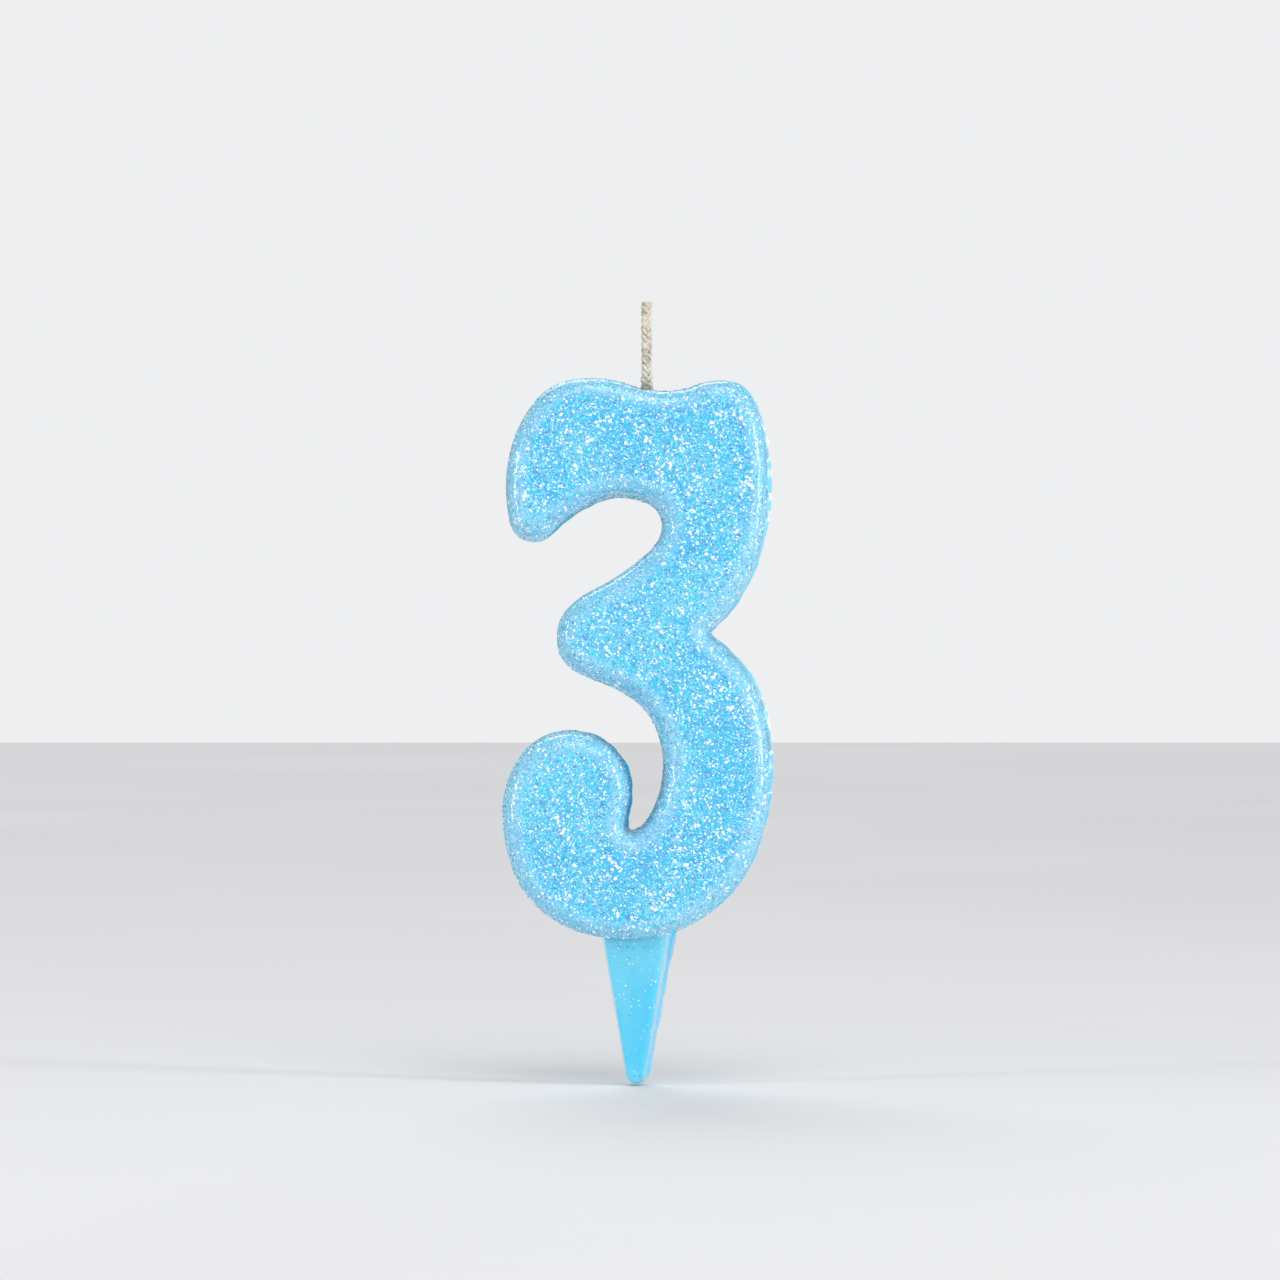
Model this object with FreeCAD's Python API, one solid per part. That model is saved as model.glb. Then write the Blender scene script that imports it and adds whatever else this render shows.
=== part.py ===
import FreeCAD, Part
import math
import os

# A number birthday candle: the digit 3 and its cake spike cast as one piece of wax around a braided wick,
# with a film of glitter glue on the digit's front and larger glitter flakes lying on that film.
#
# +Z runs up the candle, the front faces -Y and +X is to the right of someone looking at the front.
# The origin is on the spike's centre line, halfway through it, where it meets the underside of the digit:
# that is the level of the cake's top. All sizes are in millimetres.

# ---------------------------------------------------------------- driving dimensions
digit_height = 85.4
digit_width = 40.9
digit_depth = 11.5
wall_draft_deg = 4.0          # the walls lean in from the back to the front, to leave the mould
shoulder_radius = 2.4         # rounding between the walls and the front
rounding_share = 0.9          # a rounding never takes more than this share of the radius of the wall it runs on

spike_length = 21.8
spike_root_width = 10.6
spike_tip_radius = 1.75
spike_root_depth = 8.4
spike_tip_depth = 4.4
spike_shoulder_radius = 1.1   # rounding along the front edges and round the tip
spike_overlap = 4.0           # how far the spike's wedge runs up into the digit

flash_thickness = 0.35        # the thin edge where wax crept between the halves of the mould
flash_shift = 0.4             # the halves sat this far apart sideways, so it shows on one side

wick_diameter = 1.75
wick_overhang = 12.9          # from the wax to the cut end
wick_in_spike = 10.0          # how far below the digit the wick ends

coat_thickness = 0.25
coat_reach = 4.6              # how far back from the digit's front the coat runs down the shoulder

flake_width = 0.6             # across the flats
flake_thickness = 0.05
flake_edge_gap = 0.5          # between the outermost flakes and the start of the shoulder
flake_pitch = 3.4             # spacing of the flakes of one tint
flake_turn_per_row = 17.0     # degrees, so that no two neighbours lie alike
flake_turn_per_column = 29.0

# ---------------------------------------------------------------- worked-out places
back_y = spike_root_depth / 2
front_y = back_y - digit_depth
coat_front_y = front_y - coat_thickness
slope = math.tan(math.radians(wall_draft_deg))

# The outline of the 3, clockwise from the crest at its upper left: how far across from the spike's centre
# line in digit widths, how far up in digit heights, and the heading of travel in degrees from +X.
DRAWN_PROPORTION = 2.09       # height over width that the headings are given for
OUTLINE = [
    (-0.173, 1.000, 0),       # crest left of the wick
    (0.107, 0.977, 0),        # lowest point of the dip
    (0.320, 0.996, 0),        # crest right of the wick
    (0.452, 0.940, -70),
    (0.493, 0.801, -90),      # right side of the upper bowl
    (0.276, 0.550, -138),     # into the notch at the waist
    (0.288, 0.538, -38),      # out of the notch
    (0.431, 0.463, -61),
    (0.500, 0.306, -90),      # right side of the lower bowl
    (0.250, 0.043, -146),
    (-0.020, 0.000, 180),     # underside, over the spike
    (-0.312, 0.036, 148),
    (-0.500, 0.228, 90),      # left side of the lower bowl
    (-0.249, 0.374, 0),       # top of the lower curl
    (-0.022, 0.267, -90),     # inside of the lower curl
    (-0.038, 0.214, -100),
    (-0.020, 0.197, 5),       # floor of the lower bay
    (0.045, 0.221, 60),
    (0.096, 0.310, 90),       # right side of the lower bay
    (-0.010, 0.426, 143),
    (-0.137, 0.458, 159),
    (-0.271, 0.495, 130),
    (-0.298, 0.541, 90),      # nose of the middle arm
    (-0.168, 0.622, 26),
    (0.042, 0.690, 42),
    (0.092, 0.737, 90),       # right side of the upper bay
    (-0.062, 0.786, 180),     # roof of the upper bay
    (-0.256, 0.749, -144),
    (-0.386, 0.708, 180),     # underside of the upper terminal
    (-0.487, 0.808, 90),      # left side of the upper terminal
    (-0.375, 0.961, 50),
]

# The wick's route inside the wax, from the digit's top down the right-hand strokes to the spike, in digit
# widths and digit heights. It runs about halfway between the edges of each stroke.
WICK_STROKES = [
    (0.0355, 0.982),          # where it leaves the wax
    (0.085, 0.905),
    (0.195, 0.845),
    (0.275, 0.765),
    (0.255, 0.675),
    (0.140, 0.590),
    (0.120, 0.505),
    (0.220, 0.425),
    (0.300, 0.335),
    (0.285, 0.235),
    (0.205, 0.140),
    (0.090, 0.065),
    (0.010, -0.035),
]

FLAKE_TINTS = ["pearl_flakes", "turquoise_flakes", "violet_flakes"]


# ---------------------------------------------------------------- outline of tangent arcs
def arc_between(start, heading, end):
    """The middle of the arc that leaves start along heading and passes through end, or None if it is straight."""
    cx, cz = end[0] - start[0], end[1] - start[1]
    chord = math.hypot(cx, cz)
    turn = math.atan2(cx * heading[1] - cz * heading[0], cx * heading[0] + cz * heading[1])
    if abs(turn) < 1e-4:
        return None
    bulge = chord / 2 * math.tan(turn / 2)
    return ((start[0] + end[0]) / 2 - cz / chord * bulge, (start[1] + end[1]) / 2 + cx / chord * bulge)


def biarc_joint(p0, t0, p1, t1):
    """Where two tangent arcs meet that join p0 to p1 with the headings t0 and t1, and the heading there."""
    vx, vz = p1[0] - p0[0], p1[1] - p0[1]
    across = vx * (t0[0] + t1[0]) + vz * (t0[1] + t1[1])
    spread = 2 * (1 - t0[0] * t1[0] - t0[1] * t1[1])
    length2 = vx * vx + vz * vz
    if spread < 1e-6:
        reach = length2 / (2 * across)
    else:
        reach = (-across + math.sqrt(across * across + spread * length2)) / spread
    joint = ((p0[0] + p1[0] + reach * (t0[0] - t1[0])) / 2, (p0[1] + p1[1] + reach * (t0[1] - t1[1])) / 2)
    hx = p1[0] - p0[0] - reach * (t0[0] + t1[0])
    hz = p1[1] - p0[1] - reach * (t0[1] + t1[1])
    size = math.hypot(hx, hz)
    return joint, (hx / size, hz / size)


def outline_points():
    """The digit's outline at its back, as points with their headings, with an arc from each to the next."""
    squash = digit_height / digit_width / DRAWN_PROPORTION
    nodes = []
    for across, up, heading in OUTLINE:
        hx, hz = math.cos(math.radians(heading)), math.sin(math.radians(heading)) * squash
        size = math.hypot(hx, hz)
        nodes.append(((across * digit_width, up * digit_height), (hx / size, hz / size)))
    points = []
    for (p0, t0), (p1, t1) in zip(nodes, nodes[1:] + nodes[:1]):
        points.append((p0, t0))
        points.append(biarc_joint(p0, t0, p1, t1))
    return points


def tightest_bulge():
    """The smallest radius with which the outline rounds an outside corner."""
    points = outline_points()
    smallest = digit_height
    for (start, heading), (end, _) in zip(points, points[1:] + points[:1]):
        cx, cz = end[0] - start[0], end[1] - start[1]
        turn = math.atan2(cx * heading[1] - cz * heading[0], cx * heading[0] + cz * heading[1])
        if turn > 1e-4:
            smallest = min(smallest, math.hypot(cx, cz) / (2 * math.sin(turn)))
    return smallest


def ring(grow, y):
    """The outline moved outwards by grow, as a wire at depth y. Travel is clockwise, so outwards is left."""
    moved = []
    for (x, z), (hx, hz) in outline_points():
        moved.append(((x - hz * grow, z + hx * grow), (hx, hz)))
    edges = []
    for (start, heading), (end, _) in zip(moved, moved[1:] + moved[:1]):
        a = FreeCAD.Vector(start[0], y, start[1])
        b = FreeCAD.Vector(end[0], y, end[1])
        middle = arc_between(start, heading, end)
        if middle is None:
            edges.append(Part.LineSegment(a, b).toShape())
        else:
            edges.append(Part.Arc(a, FreeCAD.Vector(middle[0], y, middle[1]), b).toShape())
    return Part.Wire(edges)


# ---------------------------------------------------------------- wax
def digit_form(skin):
    """The drafted and rounded digit, with every surface but its back moved outwards by skin."""
    face_y = front_y - skin
    growth = skin / math.cos(math.radians(wall_draft_deg))
    lean_in = slope * (back_y - face_y)
    body = Part.makeLoft([ring(growth, back_y), ring(growth - lean_in, face_y)], True, True)
    rim = [e for e in body.Edges if all(abs(v.Point.y - face_y) < 1e-6 for v in e.Vertexes)]
    room = rounding_share * (tightest_bulge() - lean_in)
    return body.makeFillet(min(shoulder_radius, room) + skin, rim)


def spike_seen_from_front():
    """The spike's front view as a face: straight sides that run smoothly into a round tip."""
    half_root = spike_root_width / 2
    tip_centre = spike_tip_radius - spike_length
    span = math.hypot(half_root, tip_centre)
    lean = math.atan2(-tip_centre, half_root) - math.acos(spike_tip_radius / span)
    side_x = spike_tip_radius * math.cos(lean)
    side_z = tip_centre + spike_tip_radius * math.sin(lean)
    half_top = half_root + (half_root - side_x) / -side_z * spike_overlap
    top_left = FreeCAD.Vector(-half_top, 0, spike_overlap)
    top_right = FreeCAD.Vector(half_top, 0, spike_overlap)
    left = FreeCAD.Vector(-side_x, 0, side_z)
    right = FreeCAD.Vector(side_x, 0, side_z)
    tip = FreeCAD.Vector(0, 0, -spike_length)
    return Part.Face(Part.Wire([Part.LineSegment(top_left, left).toShape(),
                                Part.Arc(left, tip, right).toShape(),
                                Part.LineSegment(right, top_right).toShape(),
                                Part.LineSegment(top_right, top_left).toShape()]))


def spike_front_y(z):
    """The depth of the spike's front, which slopes back towards the tip."""
    return back_y - spike_root_depth - (spike_root_depth - spike_tip_depth) / spike_length * z


def spike_form():
    """The wedge that goes into the cake: flat behind, rounded in front and at its tip."""
    wedge = spike_seen_from_front()
    wedge.translate(FreeCAD.Vector(0, back_y - digit_depth, 0))
    wedge = wedge.extrude(FreeCAD.Vector(0, digit_depth, 0))
    corners = [(back_y, spike_overlap), (back_y, -spike_length),
               (spike_front_y(-spike_length), -spike_length), (spike_front_y(spike_overlap), spike_overlap)]
    side = Part.makePolygon([FreeCAD.Vector(-digit_width, y, z) for y, z in corners + corners[:1]])
    wedge = wedge.common(Part.Face(side).extrude(FreeCAD.Vector(2 * digit_width, 0, 0)))
    rim = [e for e in wedge.Edges if on_spike_front(e)]
    return wedge.makeFillet(min(spike_shoulder_radius, rounding_share * spike_tip_radius), rim)


def on_spike_front(edge):
    """Whether an edge runs round the spike's front, its straight top end left out."""
    ends = [v.Point for v in edge.Vertexes]
    in_front = all(abs(p.y - spike_front_y(p.z)) < 1e-6 for p in ends)
    return in_front and min(p.z for p in ends) < spike_overlap - 1e-6


def flash_form():
    """The thin edge of crept wax at the back of the digit."""
    plate = Part.Face(ring(0, back_y - flash_thickness)).extrude(FreeCAD.Vector(0, flash_thickness, 0))
    plate.translate(FreeCAD.Vector(flash_shift, 0, 0))
    return plate


# ---------------------------------------------------------------- wick
def wick_route():
    """The wick's route as points, from its cut end down to its lower end inside the spike."""
    inside = [FreeCAD.Vector(across * digit_width, 0, up * digit_height) for across, up in WICK_STROKES]
    cut_end = inside[0] + FreeCAD.Vector(0, 0, wick_overhang)
    return [cut_end] + inside + [FreeCAD.Vector(0, 0, -wick_in_spike)]


def smooth_path(points):
    """Straight runs joined by tangent arcs, each arc as large as its two runs allow, and the arcs' radii."""
    edges = []
    radii = []
    at = points[0]
    for before, corner, after in zip(points, points[1:], points[2:]):
        into = (corner - before).normalize()
        out = (after - corner).normalize()
        turn = into.getAngle(out)
        setback = 0.45 * min((corner - before).Length, (after - corner).Length)
        radii.append(setback / math.tan(turn / 2))
        start = corner - into * setback
        end = corner + out * setback
        inward = (out - into).normalize()
        middle = corner + inward * (radii[-1] / math.cos(turn / 2) - radii[-1])
        edges.append(Part.LineSegment(at, start).toShape())
        edges.append(Part.Arc(start, middle, end).toShape())
        at = end
    edges.append(Part.LineSegment(at, points[-1]).toShape())
    return Part.Wire(edges), radii


def wick_form():
    """The wick as one round tube from its cut end to the spike."""
    points = wick_route()
    path, radii = smooth_path(points)
    along = (points[1] - points[0]).normalize()
    end = Part.Wire(Part.makeCircle(wick_diameter / 2, points[0], along))
    tube = path.makePipeShell([end], True, False)
    ideal = math.pi * wick_diameter ** 2 / 4 * path.Length
    print("wick radii", [round(r, 1) for r in radii], "length", round(path.Length, 1),
          "volume over section x length", round(tube.Volume / ideal, 4))
    return tube


# ---------------------------------------------------------------- glitter
def coat_form(wax):
    """The film of glitter glue: a skin over the digit's front and shoulder."""
    side = 3 * (digit_height + spike_length)
    depth = coat_thickness + coat_reach
    covered = Part.makeBox(side, depth, side, FreeCAD.Vector(-side / 2, coat_front_y, -side / 2))
    return digit_form(coat_thickness).common(covered).cut(wax)


def flake(x, z, turn_deg):
    """One six-sided flake lying flat on the coat."""
    radius = flake_width / math.sqrt(3)
    corners = []
    for k in range(7):
        angle = math.radians(60 * k + turn_deg)
        corners.append(FreeCAD.Vector(x + radius * math.cos(angle), coat_front_y, z + radius * math.sin(angle)))
    return Part.Face(Part.makePolygon(corners)).extrude(FreeCAD.Vector(0, -flake_thickness, 0))


def flake_groups():
    """The larger flakes, strewn in staggered rows over the flat of the front, with the tints taking turns."""
    inset = -slope * (back_y - coat_front_y) - shoulder_radius - coat_thickness - flake_edge_gap - flake_width / 2
    flat = Part.Face(ring(0, 0).makeOffset2D(inset))
    groups = {tint: [] for tint in FLAKE_TINTS}
    rows = int(digit_height / flake_pitch * 2 * len(FLAKE_TINTS) / math.sqrt(3)) + 1
    columns = int(digit_width / flake_pitch) + 2
    for row in range(rows):
        tint = FLAKE_TINTS[row % len(FLAKE_TINTS)]
        z = row * flake_pitch * math.sqrt(3) / 2 / len(FLAKE_TINTS)
        for column in range(columns):
            x = -digit_width / 2 + (column + 0.5 * (row % 2)) * flake_pitch
            if flat.isInside(FreeCAD.Vector(x, 0, z), 1e-6, True):
                groups[tint].append(flake(x, z, flake_turn_per_row * row + flake_turn_per_column * column))
    return groups


# ---------------------------------------------------------------- write the parts
def main():
    os.makedirs("parts", exist_ok=True)
    wick = wick_form()
    wax = digit_form(0).fuse([spike_form(), flash_form()]).removeSplitter()
    nodes = {"wax_body": wax.cut(wick), "wick": wick, "glitter_coat": coat_form(wax)}
    for tint, flakes in flake_groups().items():
        nodes[tint] = Part.makeCompound(flakes)
    for name, shape in nodes.items():
        box = shape.BoundBox
        print(name, "solids", len(shape.Solids), "valid", shape.isValid(), "volume", round(shape.Volume, 1),
              "from", [round(v, 2) for v in (box.XMin, box.YMin, box.ZMin)],
              "to", [round(v, 2) for v in (box.XMax, box.YMax, box.ZMax)])
        shape.exportStep("parts/" + name + ".step")


main()
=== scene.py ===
"""Number birthday candle: the digit 3 cast in blue wax with its cake spike, a braided cotton wick,
a film of glitter glue on the front, and loose glitter in three tints on top of it.

Everything is worked out in millimetres and written to Blender in metres. The front faces -Y and +Z is up.
"""
import math

import bmesh
import bpy
import numpy as np
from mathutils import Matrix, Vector
from mathutils.geometry import delaunay_2d_cdt


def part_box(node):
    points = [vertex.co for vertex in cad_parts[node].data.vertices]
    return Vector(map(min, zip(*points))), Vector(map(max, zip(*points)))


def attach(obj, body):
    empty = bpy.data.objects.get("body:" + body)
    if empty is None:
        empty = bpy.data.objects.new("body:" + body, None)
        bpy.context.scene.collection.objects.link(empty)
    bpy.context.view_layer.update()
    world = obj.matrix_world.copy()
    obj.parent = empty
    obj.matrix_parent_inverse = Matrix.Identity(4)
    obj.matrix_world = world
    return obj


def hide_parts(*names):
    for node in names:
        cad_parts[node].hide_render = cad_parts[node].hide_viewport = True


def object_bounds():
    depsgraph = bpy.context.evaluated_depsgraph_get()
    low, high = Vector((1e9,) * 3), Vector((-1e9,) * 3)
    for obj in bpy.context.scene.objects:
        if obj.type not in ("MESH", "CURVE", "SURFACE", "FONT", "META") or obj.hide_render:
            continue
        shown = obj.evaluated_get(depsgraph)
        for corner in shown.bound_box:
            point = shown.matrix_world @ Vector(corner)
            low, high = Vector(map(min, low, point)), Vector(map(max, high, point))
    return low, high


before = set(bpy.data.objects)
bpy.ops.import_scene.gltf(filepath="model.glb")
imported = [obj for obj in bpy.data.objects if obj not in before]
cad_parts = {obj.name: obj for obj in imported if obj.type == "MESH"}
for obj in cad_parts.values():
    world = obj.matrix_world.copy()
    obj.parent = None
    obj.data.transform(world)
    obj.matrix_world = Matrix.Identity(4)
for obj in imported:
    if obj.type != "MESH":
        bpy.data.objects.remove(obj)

cad_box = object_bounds()

MM = 0.001
rng = np.random.default_rng(3)

# -------- places read from the frame
wax_low, wax_high = (np.array(corner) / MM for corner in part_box("wax_body"))
wick_low, wick_high = (np.array(corner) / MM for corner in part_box("wick"))
whole_low = np.array(cad_box[0]) / MM

back_y = wax_high[1]
front_y = wax_low[1]
digit_height = wax_high[2]
digit_width = -2 * wax_low[0]
flash_shift = wax_high[0] - digit_width / 2
spike_length = -wax_low[2]
wick_width = wick_high[1] - wick_low[1]

# -------- shape of the cast wax, in millimetres
wall_draft_deg = 4.0
slope = math.tan(math.radians(wall_draft_deg))
shoulder_radius = 2.4
last_shoulder_deg = 78.0  # the rounding is built in rows up to here, then as an open field
column_step = 0.30  # spacing of the points along the outline
column_turn = math.radians(5)  # and never more turn than this between two of them
field_step = 0.27  # spacing of the points on the open front
back_step = 1.6
trough_depth = 0.16  # shallow channel where the glue ran off the rim
trough_middle = 4.3  # how far in from the outline the channel is deepest
trough_width = 1.1
dish_depth = 0.12  # the poured back has sunk a little
back_edge_round = 0.25

spike_root_width = 10.6
spike_tip_radius = 1.75
spike_root_depth = 8.4
spike_tip_depth = 4.4
spike_shoulder = 1.1
spike_overlap = 4.0
spike_flash = 0.50  # the torn edge of wax down the spike's right side
spike_lean_in = 0.9  # how far its sides lean in from the back to the front

# -------- shape of the glitter, in millimetres
coat_thickness = 0.11
coat_root = 0.05  # how far the film's underside sits in the wax
coat_roughness = 0.035  # random height of the grains on the field
rim_roughness = 0.055  # and on the rounding, where they lie thicker
flake_thickness = 0.035

# The outline of the 3, clockwise from the crest left of the wick: across in digit widths from the spike's
# centre line, up in digit heights, and the heading of travel in degrees from +X.
DRAWN_PROPORTION = 2.09
OUTLINE = [
    (-0.173, 1.000, 0), (0.107, 0.977, 0), (0.320, 0.996, 0), (0.452, 0.940, -70), (0.493, 0.801, -90),
    (0.276, 0.550, -138), (0.288, 0.538, -38), (0.431, 0.463, -61), (0.500, 0.306, -90),
    (0.250, 0.043, -146), (-0.020, 0.000, 180), (-0.312, 0.036, 148), (-0.500, 0.228, 90),
    (-0.249, 0.374, 0), (-0.022, 0.267, -90), (-0.038, 0.214, -100), (-0.020, 0.197, 5),
    (0.045, 0.221, 60), (0.096, 0.310, 90), (-0.010, 0.426, 143), (-0.137, 0.458, 159),
    (-0.271, 0.495, 130), (-0.298, 0.541, 90), (-0.168, 0.622, 26), (0.042, 0.690, 42),
    (0.092, 0.737, 90), (-0.062, 0.786, 180), (-0.256, 0.749, -144), (-0.386, 0.708, 180),
    (-0.487, 0.808, 90), (-0.375, 0.961, 50),
]

# The wick's route inside the wax, in digit widths and digit heights.
WICK_STROKES = [
    (0.0355, 0.982), (0.085, 0.905), (0.195, 0.845), (0.275, 0.765), (0.255, 0.675), (0.140, 0.590),
    (0.120, 0.505), (0.220, 0.425), (0.300, 0.335), (0.285, 0.235), (0.205, 0.140), (0.090, 0.065),
    (0.010, -0.035),
]
wick_overhang = 12.9
wick_in_spike = 10.0


# -------- the outline as points and outward normals
def turned(vector, angle):
    c, s = math.cos(angle), math.sin(angle)
    return (vector[0] * c - vector[1] * s, vector[0] * s + vector[1] * c)


def half_turn(start, heading, end):
    """Half the turn of the arc that leaves start along heading and passes through end, and its chord."""
    cx, cz = end[0] - start[0], end[1] - start[1]
    turn = math.atan2(cx * heading[1] - cz * heading[0], cx * heading[0] + cz * heading[1])
    return -turn, math.hypot(cx, cz)


def biarc_joint(p0, t0, p1, t1):
    """Where two tangent arcs meet that join p0 to p1 with the headings t0 and t1, and the heading there."""
    vx, vz = p1[0] - p0[0], p1[1] - p0[1]
    across = vx * (t0[0] + t1[0]) + vz * (t0[1] + t1[1])
    spread = 2 * (1 - t0[0] * t1[0] - t0[1] * t1[1])
    length2 = vx * vx + vz * vz
    if spread < 1e-6:
        reach = length2 / (2 * across)
    else:
        reach = (-across + math.sqrt(across * across + spread * length2)) / spread
    joint = ((p0[0] + p1[0] + reach * (t0[0] - t1[0])) / 2, (p0[1] + p1[1] + reach * (t0[1] - t1[1])) / 2)
    hx = vx - reach * (t0[0] + t1[0])
    hz = vz - reach * (t0[1] + t1[1])
    size = math.hypot(hx, hz)
    return joint, (hx / size, hz / size)


def arc_points(start, heading, end, step):
    """Points and headings along one arc, its end left out."""
    turn, chord = half_turn(start, heading, end)
    straight = abs(turn) < 1e-4
    length = chord if straight else chord * turn / math.sin(turn)
    count = max(1, math.ceil(length / step), math.ceil(abs(2 * turn) / column_turn))
    points = []
    for k in range(count):
        part = k / count
        run = chord * part if straight else chord * math.sin(part * turn) / math.sin(turn)
        aim = turned(heading, part * turn)
        points.append((start[0] + aim[0] * run, start[1] + aim[1] * run, *turned(heading, 2 * part * turn)))
    return points


def digit_outline():
    """The outline at the back of the digit: its points, and its outward normals."""
    squash = digit_height / digit_width / DRAWN_PROPORTION
    nodes = []
    for across, up, heading in OUTLINE:
        hx, hz = math.cos(math.radians(heading)), math.sin(math.radians(heading)) * squash
        size = math.hypot(hx, hz)
        nodes.append(((across * digit_width, up * digit_height), (hx / size, hz / size)))
    chain = []
    for (p0, t0), (p1, t1) in zip(nodes, nodes[1:] + nodes[:1]):
        chain.append((p0, t0))
        chain.append(biarc_joint(p0, t0, p1, t1))
    samples = []
    for (start, heading), (end, _) in zip(chain, chain[1:] + chain[:1]):
        samples += arc_points(start, heading, end, column_step)
    samples = np.array(samples)
    points = samples[:, :2]
    normals = np.stack([-samples[:, 3], samples[:, 2]], axis=1)
    return points, normals


edge, outward = digit_outline()
columns = len(edge)
edge_length = np.concatenate([[0], np.cumsum(np.hypot(*np.diff(edge, axis=0, append=edge[:1]).T))])
edge_at = edge_length[:-1]


def distance_to_edge(points):
    """How far each point (x, z) inside the digit is from the outline at its back."""
    start = edge
    run = np.roll(edge, -1, axis=0) - start
    run2 = (run ** 2).sum(axis=1)
    nearest = np.empty(len(points))
    for first in range(0, len(points), 2000):
        some = points[first:first + 2000, None, :]
        share = np.clip(((some - start) * run).sum(axis=2) / run2, 0, 1)
        gap = some - start - share[..., None] * run
        nearest[first:first + 2000] = np.sqrt((gap ** 2).sum(axis=2).min(axis=1))
    return nearest


def inside_edge(points):
    """Whether each point (x, z) lies within the outline, by counting crossings."""
    x, z = points[:, 0], points[:, 1]
    x0, z0 = edge.T
    x1, z1 = np.roll(edge, -1, axis=0).T
    inside = np.zeros(len(points), bool)
    for ax, az, bx, bz in zip(x0, z0, x1, z1):
        if az == bz:
            continue
        crosses = ((az > z) != (bz > z)) & (x < (bx - ax) * (z - az) / (bz - az) + ax)
        inside ^= crosses
    return inside


def wavy(at, pitches, seed):
    """A smooth uneven line from -1 to 1 that closes on itself round the outline."""
    draw = np.random.default_rng(seed)
    total = np.zeros_like(at)
    for pitch in pitches:
        turns = max(1, round(edge_length[-1] / pitch))
        total += np.sin(2 * math.pi * turns * at / edge_length[-1] + draw.uniform(0, 2 * math.pi))
    return total / len(pitches)


def uneven(count, reach, seed):
    """A closed random line, softened over this many points, from about -1 to 1."""
    draw = np.random.default_rng(seed).uniform(-1, 1, count)
    softened = sum(np.roll(draw, k) for k in range(reach)) / reach
    return softened / np.abs(softened).max()


def smooth_step(value, low, high):
    share = np.clip((value - low) / (high - low), 0, 1)
    return share * share * (3 - 2 * share)


RIGHT, LEFT, UP, DOWN = (1, 0), (-1, 0), (0, 1), (0, -1)

# Where the walls stayed clean of glitter: how clean, which way the wall faces and how squarely, and how far
# that way its place is, each as the two ends of a soft step.
BARE_STRETCHES = [
    (1.0, RIGHT, (0.1, 0.5), [(RIGHT, (9, 13))]),
    (1.0, DOWN, (0.2, 0.5), [(DOWN, (-10, -6))]),
    (0.85, LEFT, (0.6, 0.9), [(UP, (57, 62)), (LEFT, (15, 17))]),
    (0.5, UP, (0.3, 0.7), [(UP, (76, 80))]),
]


def bare_wall():
    """1 where the walls stayed clean of glitter, 0 where grains run all the way down them."""
    total = np.zeros(columns)
    for most, facing, squareness, places in BARE_STRETCHES:
        share = most * smooth_step(outward @ facing, *squareness)
        for way, place in places:
            share = share * smooth_step(edge @ way, *place)
        total += share
    return np.clip(total, 0, 1)


bare = bare_wall()


# -------- the section from the back edge to the front
wall_top_y = front_y + shoulder_radius
shoulder_inset = slope * (back_y - wall_top_y) + shoulder_radius / math.cos(math.atan(slope))


def shoulder_point(angle_deg):
    """Inset and depth on the rounding, from the wall at its draft to the flat front at 90 degrees."""
    a = math.radians(angle_deg)
    return shoulder_inset - shoulder_radius * math.cos(a), wall_top_y - shoulder_radius * math.sin(a)


def front_depth(inset):
    """Depth of the open front at this inset: the end of the rounding, then the channel, then the flat."""
    reach = np.clip(shoulder_inset - inset, 0, shoulder_radius)
    rounded = front_y + shoulder_radius - np.sqrt(shoulder_radius ** 2 - reach ** 2)
    channel = trough_depth * np.exp(-((inset - trough_middle) / trough_width) ** 2)
    return rounded + channel * np.clip((inset - shoulder_inset + 0.8) / 0.8, 0, 1)


def row(inset, y):
    """One ring of the wall or rounding, with a point for each column. Inset and y may vary round it."""
    ring = edge - outward * np.broadcast_to(np.asarray(inset, float).reshape(-1, 1), (columns, 1))
    return np.column_stack([ring[:, 0], np.broadcast_to(y, columns), ring[:, 1]])


def strip_faces(first, second, flip=False):
    """Quads between two rings whose points start at these numbers."""
    faces = []
    for k in range(columns):
        n = (k + 1) % columns
        quad = (first + k, first + n, second + n, second + k)
        faces.append(quad[::-1] if flip else quad)
    return faces


def open_field(inset, step, jitter):
    """The region inside a ring: the ring's own points first, then a staggered grid, and its triangles."""
    ring = edge - outward * inset
    xs = np.arange(ring[:, 0].min(), ring[:, 0].max(), step)
    zs = np.arange(ring[:, 1].min(), ring[:, 1].max(), step * math.sqrt(3) / 2)
    grid = np.array([(x + step / 2 * (j % 2), z) for j, z in enumerate(zs) for x in xs])
    grid += rng.uniform(-jitter, jitter, grid.shape) * step
    grid = grid[inside_edge(grid)]
    grid = grid[distance_to_edge(grid) > inset + 0.55 * step]
    points = np.concatenate([ring, grid])
    loop = [(k, (k + 1) % columns) for k in range(columns)]
    result = delaunay_2d_cdt([Vector(p) for p in points], loop, [], 1, 1e-7)
    if len(result[0]) != len(points):
        raise RuntimeError("the open field gained or lost points")
    return points, [tuple(f) for f in result[2]]


def in_scene(name, data):
    """An object in the scene that holds this mesh, curve, light or camera."""
    holder = bpy.data.objects.new(name, data)
    bpy.context.scene.collection.objects.link(holder)
    return holder


def mesh_object(name, points, faces, smooth=True):
    """A piece from points in millimetres."""
    mesh = bpy.data.meshes.new(name)
    mesh.from_pydata((np.asarray(points) * MM).tolist(), [], faces)
    mesh.validate()
    mesh.shade_smooth() if smooth else mesh.shade_flat()
    return in_scene(name, mesh)


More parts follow.
